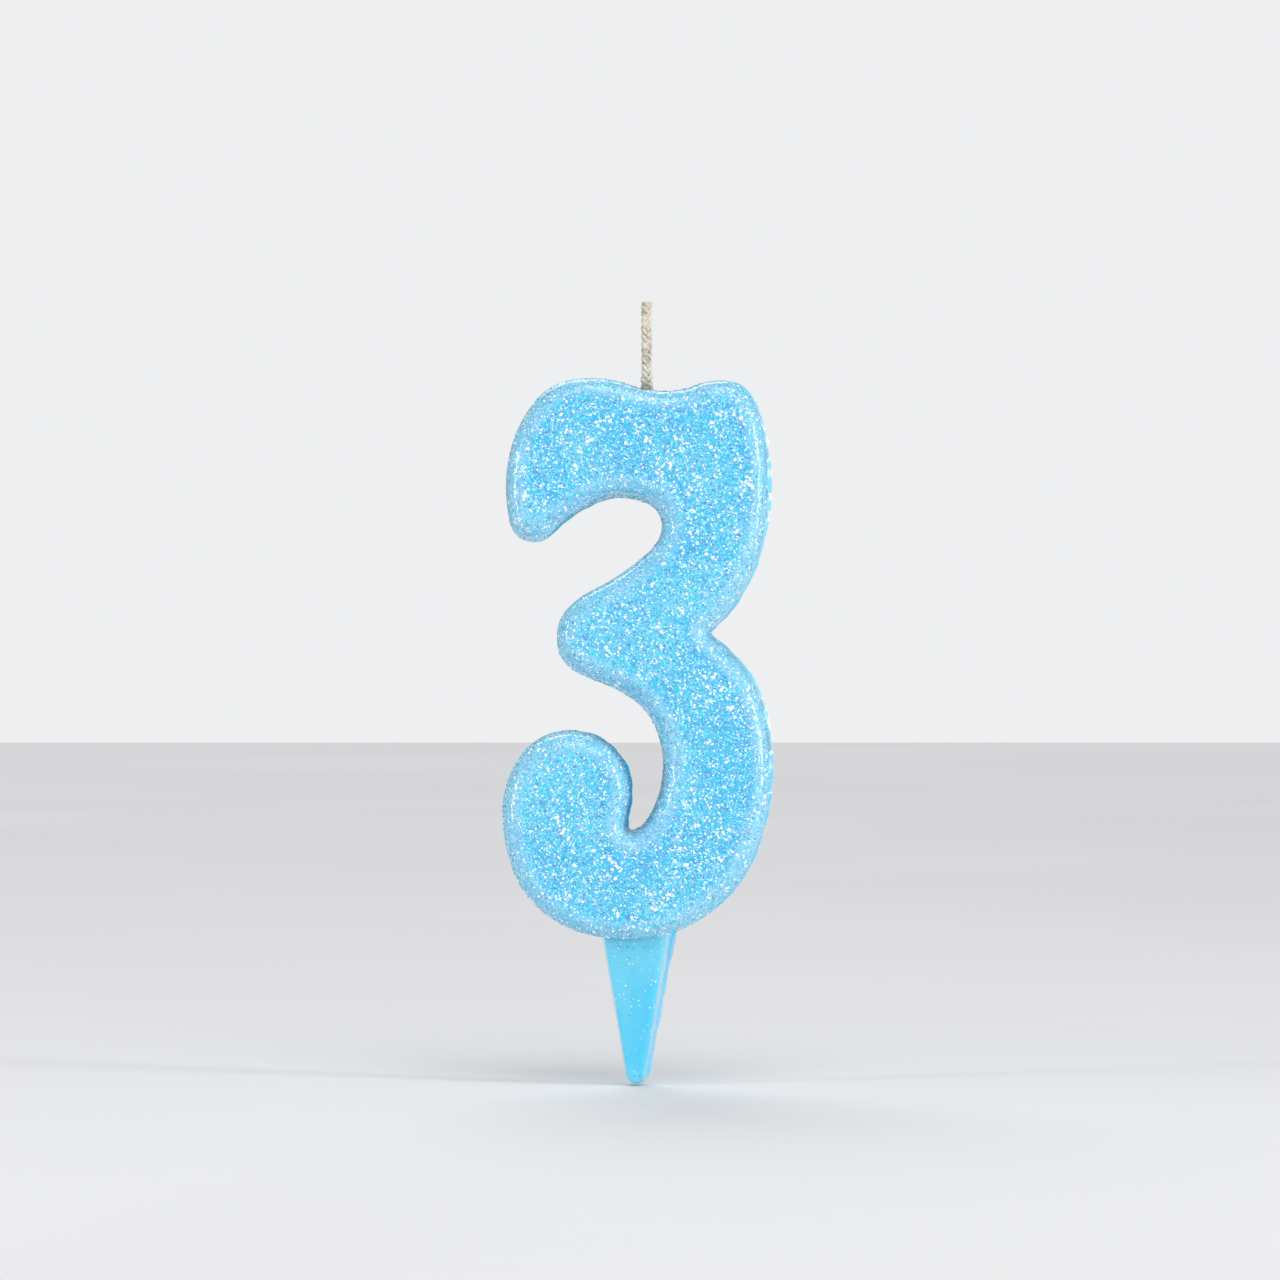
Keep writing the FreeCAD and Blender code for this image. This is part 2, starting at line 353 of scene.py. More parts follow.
# -------- the digit
def flash_width():
    """How far the crept wax stands out at each column: mostly to the right, torn and uneven."""
    to_right = np.clip(outward[:, 0], 0, 1)
    torn = 0.6 + 0.35 * wavy(edge_at, (17, 7, 3.1), 5)
    torn += 0.22 * uneven(columns, 5, 6) + 0.1 * uneven(columns, 2, 7)
    return np.clip(flash_shift * to_right * torn * 1.2, 0, flash_shift * to_right) + 0.01 * (1 - to_right)


def digit_mesh():
    flash = flash_width()
    rows = [row(back_edge_round - flash, back_y),
            row(0.04 - flash, back_y - 0.10),
            row(0.02 - flash, back_y - 0.22),
            row(0.02, back_y - 0.38)]
    waviness = 0.03 * wavy(edge_at, (23, 11), 8)
    for y in np.linspace(back_y - 0.8, wall_top_y + 0.3, 7):
        rows.append(row(slope * (back_y - y) + waviness, y))
    for angle in np.linspace(wall_draft_deg, last_shoulder_deg, 11):
        rows.append(row(*shoulder_point(angle)))
    points = list(np.concatenate(rows))
    faces = []
    for k in range(len(rows) - 1):
        faces += strip_faces(k * columns, (k + 1) * columns)
    inset, _ = shoulder_point(last_shoulder_deg)
    faces += field_cap(points, (len(rows) - 1) * columns, inset, field_step * 1.8, front_depth, False)
    faces += field_cap(points, 0, back_edge_round, back_step, dished_back, True)
    return points, faces


def dished_back(inset):
    return back_y - dish_depth * np.clip((inset - 0.8) / 4.0, 0, 1) ** 2


def field_cap(points, ring_start, inset, step, depth, behind):
    """Closes a ring that is already in points with an open field, and adds the field's own points."""
    field, triangles = open_field(inset, step, 0.12)
    own = field[columns:]
    y = depth(distance_to_edge(own))
    offset = len(points) - columns
    points.extend(np.column_stack([own[:, 0], y, own[:, 1]]))
    number = [ring_start + k if k < columns else offset + k for k in range(len(field))]
    faces = [tuple(number[k] for k in t) for t in triangles]
    return [turned_to(points, f, 1 if behind else -1) for f in faces]


def turned_to(points, face, side):
    """The same face, wound so that its normal points to +Y for side 1 and to -Y for side -1."""
    a, b, c = (points[k] for k in face[:3])
    normal_y = (b[2] - a[2]) * (c[0] - a[0]) - (b[0] - a[0]) * (c[2] - a[2])
    return face if normal_y * side > 0 else face[::-1]


# -------- the spike
def spike_front_y(z):
    return back_y - spike_root_depth - (spike_root_depth - spike_tip_depth) / spike_length * z


def spike_outline():
    """The spike seen from the front, from its top right round the tip to its top left, with its normals."""
    half_root = spike_root_width / 2
    tip_centre = spike_tip_radius - spike_length
    span = math.hypot(half_root, tip_centre)
    lean = math.atan2(-tip_centre, half_root) - math.acos(spike_tip_radius / span)
    side_x = spike_tip_radius * math.cos(lean)
    side_z = tip_centre + spike_tip_radius * math.sin(lean)
    half_top = half_root + (half_root - side_x) / -side_z * spike_overlap
    right = []
    for share in np.linspace(0, 1, 150):
        x = half_top + (side_x - half_top) * share
        z = spike_overlap + (side_z - spike_overlap) * share
        right.append((x, z, math.cos(lean), math.sin(lean)))
    tip = []
    for angle in np.linspace(lean, -math.pi - lean, 40)[1:-1]:
        c, s = math.cos(angle), math.sin(angle)
        tip.append((spike_tip_radius * c, tip_centre + spike_tip_radius * s, c, s))
    left = [(-x, z, -nx, nz) for x, z, nx, nz in right[::-1]]
    return np.array(right + tip + left)


def spike_lip(at, out):
    """How far the torn edge stands out round the spike's back: to the right, and not at the tip."""
    count = len(at)
    torn = 0.75 + 0.3 * uneven(count, 14, 31) + 0.22 * uneven(count, 5, 32) + 0.08 * uneven(count, 2, 33)
    torn += 0.5 * smooth_step(at[:, 1], -3.5, 0.5)
    lip = spike_flash * np.clip(torn, 0.05, 1.7) * np.clip(out[:, 0], 0, 1)
    return lip * smooth_step(at[:, 1], 0.3 - spike_length, 2.0 - spike_length)


def spike_rows(at, out):
    """Insets and depths of the spike's rings, from its back over the sides to the middle of its front."""
    lip = spike_lip(at, out)
    front = spike_front_y(at[:, 1])
    behind = back_y - 0.4 * smooth_step(at[:, 1], 0.2, 1.6)
    rows = [(0.8, behind), (0.2 - lip, behind), (0.02 - lip, behind - 0.12),
            (0.02 - lip * 0.8, behind - 0.26), (0.03, behind - 0.5)]
    to_left = smooth_step(-out[:, 0], -0.6, 0.6)
    shoulder = spike_shoulder * (1 - 0.55 * to_left)
    lean_in = spike_lean_in * (back_y - front) / spike_root_depth * (1 - 0.5 * to_left)
    for share in (0.12, 0.3, 0.6, 1.0):
        y = back_y - 0.5 + (front + shoulder - back_y + 0.5) * share
        rows.append((0.03 + (lean_in - 0.03) * share, y))
    for angle in np.radians((12, 24, 36, 48, 60, 75, 90)):
        rows.append((lean_in + shoulder * (1 - math.cos(angle)), front + shoulder * (1 - math.sin(angle))))
    return rows


def spike_mesh():
    """The spike closed by quads across its flat back and its front, and by one face inside the digit."""
    seen = spike_outline()
    count = len(seen)
    at, out = seen[:, :2], seen[:, 2:]
    points = []
    rows = spike_rows(at, out)
    for inset, y in rows:
        ring = at - out * np.broadcast_to(inset, count)[:, None]
        points += list(np.column_stack([ring[:, 0], y, ring[:, 1]]))
    faces = []
    for k in range(len(rows) - 1):
        for n in range(count - 1):
            a, b = k * count + n, (k + 1) * count + n
            faces.append((a, a + 1, b + 1, b))
    last = (len(rows) - 1) * count
    for ring_start, flip in ((0, False), (last, True)):
        for n in range(count // 2 - 1):
            quad = (ring_start + n, ring_start + n + 1,
                    ring_start + count - 2 - n, ring_start + count - 1 - n)
            faces.append(quad if flip else quad[::-1])
    right_ends = [k * count for k in range(len(rows))]
    left_ends = [k * count + count - 1 for k in range(len(rows))]
    faces.append(tuple(left_ends + right_ends[::-1]))
    return points, faces


def foot_swell(at):
    """How many times thicker the wick is than elsewhere: it spreads a little where it leaves the wax."""
    return 1 + base_swell * np.exp(-((at - wick_overhang + 0.3) / 1.1) ** 2)


def tube_faces(length, sides):
    """Faces round and at both ends of a tube whose points come ring by ring."""
    faces = []
    for k in range(length - 1):
        for n in range(sides):
            m = (n + 1) % sides
            faces.append((k * sides + n, k * sides + m, (k + 1) * sides + m, (k + 1) * sides + n))
    faces.append(tuple(range(sides))[::-1])
    faces.append(tuple((length - 1) * sides + n for n in range(sides)))
    return faces


def pipe(line, radii, sides):
    """A closed round pipe along a line of points in the plane y = 0."""
    along = np.gradient(line, axis=0)
    along /= np.linalg.norm(along, axis=1)[:, None]
    aside = np.cross((0.0, 1.0, 0.0), along)
    angle = 2 * math.pi * np.arange(sides) / sides
    rings = (line[:, None] + (aside[:, None] * np.cos(angle)[:, None]) * radii[:, None, None]
             + (np.array((0.0, 1.0, 0.0)) * np.sin(angle)[:, None]) * radii[:, None, None])
    return rings.reshape(-1, 3), tube_faces(len(line), sides)


def wick_bore():
    """The room that the wick takes up in the wax, open at the top of the digit."""
    line, at = wick_line()
    inside = at > wick_overhang - 2.0
    line, at = line[inside][::3], at[inside][::3]
    return pipe(line, wick_width / 2 * foot_swell(at) + 0.02, 16)


def cast_wax():
    """The digit and the spike as one casting round the wick."""
    steps = [("digit_casting", digit_mesh(), None), ("spike_casting", spike_mesh(), "UNION"),
             ("wick_bore", wick_bore(), "DIFFERENCE")]
    parts = []
    for name, shape, how in steps:
        part = mesh_object(name, *shape)
        set_outward(part.data)
        parts.append(part)
        if how:
            cut = parts[0].modifiers.new(name, "BOOLEAN")
            cut.operation = how
            cut.solver = "EXACT"
            cut.object = part
    cast = bpy.data.meshes.new_from_object(parts[0].evaluated_get(bpy.context.evaluated_depsgraph_get()))
    cast.name = "blue_wax_casting"
    for part in parts:
        bpy.data.objects.remove(part)
    cast.shade_smooth()
    cast.set_sharp_from_angle(angle=math.radians(38))
    mark(cast, "thin edge", crept_wax(np.array([v.co for v in cast.vertices]) / MM))
    return in_scene("blue_wax_casting", cast)


def crept_wax(places):
    """1 on the thin torn edges that stand out past the digit and the spike, 0 elsewhere."""
    seen = places[:, [0, 2]]
    past_digit = ~inside_edge(seen) & (distance_to_edge(seen) > 0.06)
    half = np.interp(-places[:, 2], (0, spike_length), (spike_root_width / 2, 1.2))
    past_spike = (places[:, 2] > -spike_length * 0.97) & (np.abs(places[:, 0]) < half + 0.05)
    return 1.0 * (past_digit & ~past_spike & (places[:, 1] > back_y - 0.45))


def set_outward(mesh):
    """Winds every face of a closed mesh outwards."""
    work = bmesh.new()
    work.from_mesh(mesh)
    bmesh.ops.recalc_face_normals(work, faces=work.faces)
    work.to_mesh(mesh)
    work.free()


# -------- the film of glitter glue
def wall_cover():
    """How far down the wall, from the start of the rounding, the film runs at each column."""
    ragged = 1.4 + 0.5 * wavy(edge_at, (31, 13, 5), 11) + 0.5 * uneven(columns, 3, 12)
    return np.clip(ragged * (1 - 0.75 * bare), 0.1, 2.2)


def film_section(part, cover):
    """Inset, depth and outward tilt on the section: part runs from 0 at the film's edge to 1 at the field."""
    arc = shoulder_radius * math.radians(last_shoulder_deg - wall_draft_deg)
    path = part * (cover + arc) - cover
    on_wall = path < 0
    angle = np.radians(wall_draft_deg) + np.clip(path, 0, None) / shoulder_radius
    inset = shoulder_inset - shoulder_radius * np.cos(angle) - np.where(on_wall, -path * slope, 0)
    y = wall_top_y - shoulder_radius * np.sin(angle) + np.where(on_wall, -path, 0)
    return inset, y, angle


def film_mesh():
    cover = wall_cover()
    outer_rows, inner_rows = 17, 4
    points = []
    for k in range(outer_rows):
        part = k / (outer_rows - 1)
        inset, y, angle = film_section(part, cover)
        grain = coat_thickness * min(1, 0.25 + 3 * part) + rng.uniform(-1, 1, columns) * rim_roughness
        points += list(row(inset - grain * np.cos(angle), y - grain * np.sin(angle)))
    outer_last = (outer_rows - 1) * columns
    faces = []
    for k in range(outer_rows - 1):
        faces += strip_faces(k * columns, (k + 1) * columns)
    inset_end, _ = shoulder_point(last_shoulder_deg)
    faces += field_cap(points, outer_last, inset_end, field_step, film_depth, False)
    inner_first = len(points)
    for k in range(inner_rows):
        inset, y, angle = film_section(k / (inner_rows - 1), cover)
        points += list(row(inset + coat_root * np.cos(angle), y + coat_root * np.sin(angle)))
    faces += strip_faces(0, inner_first, True)
    for k in range(inner_rows - 1):
        faces += strip_faces(inner_first + k * columns, inner_first + (k + 1) * columns, True)
    inner_last = inner_first + (inner_rows - 1) * columns
    faces += field_cap(points, inner_last, inset_end, back_step, film_root, True)
    return points, faces


def film_depth(inset):
    return front_depth(inset) - coat_thickness - rng.uniform(-1, 1, len(inset)) * coat_roughness


def film_root(inset):
    return front_y + trough_depth + coat_root + 0 * inset


def mark(mesh, name, values):
    """Keeps one number for each point of a mesh, for its material to read."""
    mesh.attributes.new(name, "FLOAT", "POINT").data.foreach_set("value", np.asarray(values, np.float32))


def glue_film():
    """The film as a piece: smooth over the rim, each grain its own facet on the field."""
    piece = mesh_object("glitter_glue_film", *film_mesh(), smooth=False)
    mesh = piece.data
    set_outward(mesh)
    places = np.array([v.co for v in mesh.vertices]) / MM
    inset = distance_to_edge(places[:, [0, 2]])
    mark(mesh, "rim", 1 - smooth_step(inset, 2.5, 3.7))
    mark(mesh, "channel", np.exp(-((inset - trough_middle) / trough_width) ** 2))
    mark(mesh, "hem", smooth_step(places[:, 1], wall_top_y - 0.3, wall_top_y + 1.2))
    rounded = inset < shoulder_inset
    for face in mesh.polygons:
        face.use_smooth = all(rounded[k] for k in face.vertices)
    return piece


# -------- loose glitter
def sites_on_field(count):
    """Random places on the open front: points and normals."""
    found = []
    total = 0
    low, high = edge.min(axis=0), edge.max(axis=0)
    while total < count:
        tries = rng.uniform(low, high, (4000, 2))
        tries = tries[inside_edge(tries)]
        inset = distance_to_edge(tries)
        keep = inset > shoulder_point(last_shoulder_deg)[0]
        tries, inset = tries[keep], inset[keep]
        found.append(np.column_stack([tries[:, 0], front_depth(inset) - coat_thickness, tries[:, 1]]))
        total += len(tries)
    places = np.concatenate(found)[:count]
    return places, np.tile((0.0, -1.0, 0.0), (count, 1))


def sites_on_rim(count, lowest, fade):
    """Random places on the rounding and down the wall to lowest, thinner the further down."""
    column = np.searchsorted(edge_length, rng.uniform(0, edge_length[-1], count * 3)) - 1
    arc = shoulder_radius * math.radians(last_shoulder_deg - wall_draft_deg)
    path = arc - (arc + lowest) * rng.uniform(0, 1, len(column)) ** fade
    stays = (path > 0) | (rng.uniform(0, 1, len(column)) > 0.94 * bare[column])
    column, path = column[stays][:count], path[stays][:count]
    angle = np.radians(wall_draft_deg) + np.clip(path, 0, None) / shoulder_radius
    c, s = np.cos(angle), np.sin(angle)
    lift = coat_thickness * np.clip(1 + path, 0.1, 1)
    down_wall = -np.clip(path, None, 0)
    inset = shoulder_inset - shoulder_radius * c - down_wall * slope - lift * c
    y = wall_top_y - shoulder_radius * s + down_wall - lift * s
    out = outward[column]
    across = edge[column] - out * inset[:, None]
    normals = np.column_stack([out[:, 0] * c, -s, out[:, 1] * c])
    return np.column_stack([across[:, 0], y, across[:, 1]]), normals


def sites_on_spike(count):
    """A few grains that fell on the spike's front, most of them near the digit."""
    z = -0.6 - 12 * rng.uniform(0, 1, count) ** 2.6
    half = (spike_root_width / 2 - 1.2) * (1 + z / spike_length * 0.75)
    x = rng.uniform(-1, 1, count) * half
    return np.column_stack([x, spike_front_y(z), z]), np.tile((0.0, -1.0, 0.0), (count, 1))


group_size = 9  # flakes to a group, on average, where they lie in groups


def clustered(places, normals, share, reach):
    """Pulls a share of the sites of the open front next to others, so that they lie in small groups."""
    pulled = rng.uniform(0, 1, len(places)) < share
    hosts = rng.integers(0, max(1, len(places) // group_size), len(places))
    moved = places[hosts] + rng.normal(0, reach, places.shape) * (1, 0, 1)
    inset = distance_to_edge(moved[:, [0, 2]])
    fits = pulled & inside_edge(moved[:, [0, 2]]) & (inset > shoulder_point(last_shoulder_deg)[0])
    moved[:, 1] = front_depth(inset) - coat_thickness
    return np.where(fits[:, None], moved, places), normals


SIX_CORNERS = np.array([(math.cos(math.radians(60 * k)), math.sin(math.radians(60 * k))) for k in range(6)])
SIX_SIDES = [(k, (k + 1) % 6, 6 + (k + 1) % 6, 6 + k) for k in range(6)]
FLAKE_FACES = np.array([5, 4, 3, 2, 1, 0]), np.arange(6, 12), *np.array(SIX_SIDES)
flake_sunk = 0.01  # how far a flake's underside sits in the glue


def flake_block(place, normal, smallest, largest, tilt):
    """The twelve corners of one flake: six below, then six above."""
    size = rng.uniform(smallest, largest) / 2
    lean = normal + rng.normal(0, math.tan(math.radians(tilt)), 3)
    lean /= np.linalg.norm(lean)
    side = np.cross(lean, rng.normal(0, 1, 3))
    side /= np.linalg.norm(side)
    other = np.cross(lean, side)
    low = place + SIX_CORNERS[:, :1] * side * size + SIX_CORNERS[:, 1:] * other * size - lean * flake_sunk
    block = np.concatenate([low, low + lean * flake_thickness])
    block[:, 1] += max(0, whole_low[1] + 0.002 - block[:, 1].min())
    block[:, 0] += max(0, wax_low[0] - block[:, 0].min())
    block[:, 1] -= max(0, block[:, 1].max() - back_y)
    return block


def flakes(name, groups):
    """Six-sided flakes as one piece. Each group is (places, normals, smallest, largest, tilt in degrees, and
    the share of them painted white as glints)."""
    blocks = []
    shine = []
    for places, normals, smallest, largest, tilt, glint_share in groups:
        # A share of the flakes is marked to be painted white: painted glints.
        shine.append(np.repeat(rng.uniform(0, 1, len(places)) < glint_share, 12))
        blocks += [flake_block(*site, smallest, largest, tilt) for site in zip(places, normals)]
    faces = [tuple(12 * k + face) for k in range(len(blocks)) for face in FLAKE_FACES]
    piece = mesh_object(name, np.concatenate(blocks), faces, smooth=False)
    mark(piece.data, "shine", np.concatenate(shine))
    cell_map(piece.data)
    return piece


def cell_map(mesh):
    """A flat map with a cell of its own for each flake, so that a picture of it can hold every tint."""
    count = len(mesh.vertices) // 12
    side = math.ceil(math.sqrt(count))
    number = np.arange(count)
    middle = np.stack([number % side, number // side], axis=1) + 0.5
    low_and_high = np.concatenate([SIX_CORNERS * 0.46, SIX_CORNERS * 0.30])
    places = ((middle[:, None] + low_and_high) / side).reshape(-1, 2)
    corners = np.empty(len(mesh.loops), np.int32)
    mesh.loops.foreach_get("vertex_index", corners)
    cells_of_faces = mesh.uv_layers.new(name="OFBake")
    cells_of_faces.data.foreach_set("uv", places[corners].astype(np.float32).ravel())


# -------- the wick
def wick_line():
    """The wick's middle line as evenly spaced points, from the cut end to the end inside the spike."""
    exit_x, exit_z = WICK_STROKES[0][0] * digit_width, WICK_STROKES[0][1] * digit_height
    route = [(exit_x, exit_z + above) for above in (wick_overhang, wick_overhang * 0.62, 1.5)]
    route += [(across * digit_width, up * digit_height) for across, up in WICK_STROKES]
    route.append((0, -wick_in_spike))
    curve = bpy.data.curves.new("wick line", "CURVE")
    curve.dimensions = "3D"
    curve.resolution_u = 40
    spline = curve.splines.new("NURBS")
    spline.points.add(len(route) - 1)
    for point, (x, z) in zip(spline.points, route):
        point.co = (x * MM, 0, z * MM, 1)
    spline.order_u = 3
    spline.use_endpoint_u = True
    holder = in_scene("wick line", curve)
    line = bpy.data.meshes.new_from_object(holder.evaluated_get(bpy.context.evaluated_depsgraph_get()))
    points = np.array([v.co for v in line.vertices]) / MM
    bpy.data.objects.remove(holder)
    bpy.data.meshes.remove(line)
    run = np.concatenate([[0], np.cumsum(np.linalg.norm(np.diff(points, axis=0), axis=1))])
    even = np.arange(0, run[-1], 0.16)
    return np.column_stack([np.interp(even, run, points[:, k]) for k in range(3)]), even


strand_radius = 0.41
plait_pitch = 3.3  # length in which one strand comes back to where it was
plait_swing = 0.42
plait_depth = 0.20
strand_sides = 10
strand_flatness = 0.92
end_spread = 0.16
base_swell = 0.13


def strand(line, at, phase, seed):
    """One strand of the plait, as rings of points round its own middle."""
    draw = np.random.default_rng(seed)
    along = np.gradient(line, axis=0)
    along /= np.linalg.norm(along, axis=1)[:, None]
    depth = np.array((0.0, 1.0, 0.0))
    aside = np.cross(depth, along)
    turn = 2 * math.pi * at / plait_pitch + phase
    wobble = 1 + 0.06 * np.sin(at * 1.9 + draw.uniform(0, 6)) + 0.05 * np.sin(at * 4.3 + draw.uniform(0, 6))
    splay = np.clip(1 - at / 1.6, 0, 1) ** 2 * end_spread
    swell = foot_swell(at)
    swing = (plait_swing * wobble + splay) * swell
    middle = line + aside * (swing * np.sin(turn))[:, None]
    middle += depth * (plait_depth * np.sin(2 * turn))[:, None]
    head = np.gradient(middle, axis=0)
    head /= np.linalg.norm(head, axis=1)[:, None]
    u = np.cross(depth, head)
    u /= np.linalg.norm(u, axis=1)[:, None]
    v = np.cross(head, u)
    rings = []
    for k in range(strand_sides):
        a = 2 * math.pi * k / strand_sides
        fibre = 1 + 0.05 * np.sin(6 * a + at * 5.0) + 0.03 * draw.normal(0, 1, len(at))
        radius = (strand_radius * swell * fibre)[:, None]
        rings.append(middle + u * radius * math.cos(a) + v * strand_flatness * radius * math.sin(a))
    return np.stack(rings, axis=1)


def plaited_wick():
    line, at = wick_line()
    points, faces = [], []
    for number in range(3):
        rings = strand(line, at, number * 2 * math.pi / 3, 20 + number)
        slant = (0.5 - 0.5 * number, 0.3, 0)
        rings[0, :, 2] += (rings[0] - rings[0].mean(axis=0)) @ np.array(slant) * 0.6
        highest = wick_high[2] - 0.01 - 0.02 * np.arange(3)
        rings[:3, :, 2] = np.minimum(rings[:3, :, 2], highest[:, None])
        tube = tube_faces(len(rings), strand_sides)
        faces += [tuple(len(points) + corner for corner in face) for face in tube]
        points += list(rings.reshape(-1, 3))
    piece = mesh_object("plaited_wick", points, faces)
    set_outward(piece.data)
    return piece


# -------- node helpers
NUMBER, COLOUR = "NodeSocketFloat", "NodeSocketColor"


def group_start(name, inputs, outputs):
    """A shader node group with named sockets: its tree, the values given to it and its output node."""
    group = bpy.data.node_groups.new(name, "ShaderNodeTree")
    for label, kind, default in inputs:
        socket = group.interface.new_socket(name=label, in_out="INPUT", socket_type=kind)
        socket.default_value = default
    for label, kind in outputs:
        group.interface.new_socket(name=label, in_out="OUTPUT", socket_type=kind)
    return group, group.nodes.new("NodeGroupInput").outputs, group.nodes.new("NodeGroupOutput")


def node(tree, kind, **settings):
    made = tree.nodes.new("ShaderNode" + kind)
    for key, value in settings.items():
        setattr(made, key, value)
    return made


def feed(slot, value):
    """Links a socket, or sets a plain value."""
    if isinstance(value, bpy.types.NodeSocket):
        slot.id_data.links.new(value, slot)
    else:
        slot.default_value = value


def set_inputs(made, values):
    for label, value in values.items():
        feed(made.inputs[label], value)


def sums(tree, operation, *values):
    """A Math node. Each of the values is a socket or a number."""
    made = node(tree, "Math", operation=operation)
    for slot, value in zip(made.inputs, values):
        feed(slot, value)
    return made.outputs[0]


def blend_colours(tree, share, first, second):
    """A Mix node for colours. Share and colours are sockets or values."""
    made = node(tree, "Mix", data_type="RGBA")
    for slot, value in ((made.inputs[0], share), (made.inputs[6], first), (made.inputs[7], second)):
        feed(slot, value)
    return made.outputs[2]


def ramp(tree, value, start, end, most=1.0):
    """Rises softly from 0 at start to most at end."""
    made = node(tree, "ValToRGB")
    made.color_ramp.interpolation = "EASE"
    for element, place, grey in zip(made.color_ramp.elements, (start, end), (0.0, most)):
        element.position = place
        element.color = (grey, grey, grey, 1)
    tree.links.new(value, made.inputs[0])
    return made.outputs[0]


def noise(tree, where, scale, detail):
    made = node(tree, "TexNoise")
    set_inputs(made, {"Detail": detail, "Vector": where, "Scale": scale})
    return made.outputs[0]


def cells(tree, where, scale):
    """Random cells: a random value and colour for each, and the distance from its middle."""
    made = node(tree, "TexVoronoi")
    set_inputs(made, {"Vector": where, "Scale": scale})
    parts = node(tree, "SeparateColor")
    tree.links.new(made.outputs["Color"], parts.inputs[0])
    return parts.outputs[0], parts.outputs[1], parts.outputs[2], made.outputs["Distance"]


def rgb(red, green, blue):
    """A colour given as 0 to 255 on a screen, as the light values Blender uses."""
    def light(part):
        part /= 255
        return part / 12.92 if part <= 0.04045 else ((part + 0.055) / 1.055) ** 2.4
    return (light(red), light(green), light(blue), 1.0)


# -------- effects shared by materials
def glitter_grain_group():
    """Fine glitter: a mosaic of grains in related tints, with a height for each grain and its shine. Its
    white spark cells are painted glints on the glitter glue and plain pale specks in the wax.
    """
    group, given, out = group_start(
        "glitter grain",
        [("Grains per metre", NUMBER, 4300.0), ("Main", COLOUR, rgb(104, 200, 240)),
         ("Pale", COLOUR, rgb(160, 222, 246)), ("Deep", COLOUR, rgb(30, 180, 228)),
         ("Dot", COLOUR, rgb(96, 124, 196)), ("Dot share", NUMBER, 0.05),
         ("Spark share", NUMBER, 0.04)],
        [("Color", COLOUR), ("Height", NUMBER), ("Roughness", NUMBER),
         ("Spark", NUMBER)])
    where = node(group, "TexCoord").outputs["Object"]
    pick, tone, lift, gap = cells(group, where, given["Grains per metre"])
    pale_share = ramp(group, tone, 0.45, 0.95)
    colour = blend_colours(group, pale_share, given["Main"], given["Pale"])
    deep_share = ramp(group, lift, 0.55, 0.98, 0.85)
    colour = blend_colours(group, deep_share, colour, given["Deep"])
    dotted = sums(group, "LESS_THAN", pick, given["Dot share"])
    colour = blend_colours(group, dotted, colour, given["Dot"])
    # Spark cells are painted white: painted glints in the glitter glue, plain pale specks where the wax uses
    # them.
    spark = sums(group, "GREATER_THAN", pick, sums(group, "SUBTRACT", 1.0, given["Spark share"]))
    colour = blend_colours(group, spark, colour, (1.0, 1.0, 1.0, 1.0))
    height = sums(group, "SUBTRACT", sums(group, "MULTIPLY", lift, 0.8), sums(group, "MULTIPLY", gap, 0.5))
    shine = sums(group, "MULTIPLY_ADD", tone, 0.30, 0.16)
    set_inputs(out, {"Color": colour, "Height": height, "Roughness": shine, "Spark": spark})
    return group


def clouding_group():
    """Slow, soft variation from one tint to another, with streaks that run up the piece."""
    group, given, out = group_start(
        "clouding",
        [("Clouds per metre", NUMBER, 90.0), ("Streak", NUMBER, 0.3),
         ("Clear", COLOUR, rgb(60, 195, 245)), ("Milky", COLOUR, rgb(150, 218, 250))],
        [("Color", COLOUR), ("Mask", NUMBER), ("Height", NUMBER)])
    where = node(group, "TexCoord").outputs["Object"]
    cloud = noise(group, where, given["Clouds per metre"], 4.0)
    stretched = node(group, "Mapping")
    set_inputs(stretched, {"Scale": (9.0, 9.0, 0.7), "Vector": where})
    streak = noise(group, stretched.outputs[0], given["Clouds per metre"], 3.0)
    streaked = sums(group, "MULTIPLY", sums(group, "SUBTRACT", streak, 0.5), given["Streak"])
    mask = ramp(group, sums(group, "ADD", cloud, streaked), 0.36, 0.64)
    colour = blend_colours(group, mask, given["Clear"], given["Milky"])
    height = sums(group, "MULTIPLY_ADD", streak, 0.5, cloud)
    set_inputs(out, {"Color": colour, "Mask": mask, "Height": height})
    return group


def film_tint_group():
    """A tint for each loose flake, picked from three."""
    group, given, out = group_start(
        "film tint",
        [("First", COLOUR, rgb(255, 255, 255)), ("Second", COLOUR, rgb(200, 250, 255)),
         ("Third", COLOUR, rgb(220, 210, 255)), ("Second from", NUMBER, 0.5),
         ("Third from", NUMBER, 0.8)],
        [("Color", COLOUR), ("Roughness", NUMBER)])
    where = node(group, "TexCoord").outputs["Object"]
    pick, tone, _, _ = cells(group, where, 1700.0)
    second = sums(group, "GREATER_THAN", pick, given["Second from"])
    third = sums(group, "GREATER_THAN", pick, given["Third from"])
    colour = blend_colours(group, second, given["First"], given["Second"])
    colour = blend_colours(group, third, colour, given["Third"])
    set_inputs(out, {"Color": colour, "Roughness": sums(group, "MULTIPLY_ADD", tone, 0.2, 0.08)})
    return group


glitter_grain = glitter_grain_group()
clouding = clouding_group()
film_tint = film_tint_group()


def placed(tree, group, **values):
    """Outputs of one of the groups above in a material, with its own values; underscores stand for spaces."""
    made = node(tree, "Group")
    made.node_tree = group
    set_inputs(made, {key.replace("_", " "): value for key, value in values.items()})
    return made.outputs


def material_start(name):
    made = bpy.data.materials.new(name)
    made.use_nodes = True
    tree = made.node_tree
    return made, tree, tree.nodes["Principled BSDF"]


def bump(tree, shader, height, strength, distance_mm):
    made = node(tree, "Bump")
    set_inputs(made, {"Strength": strength, "Distance": distance_mm * MM, "Height": height})
    feed(shader.inputs["Normal"], made.outputs[0])


def marked(tree, name):
    """A number kept on the piece's points."""
    return node(tree, "Attribute", attribute_name=name).outputs["Fac"]


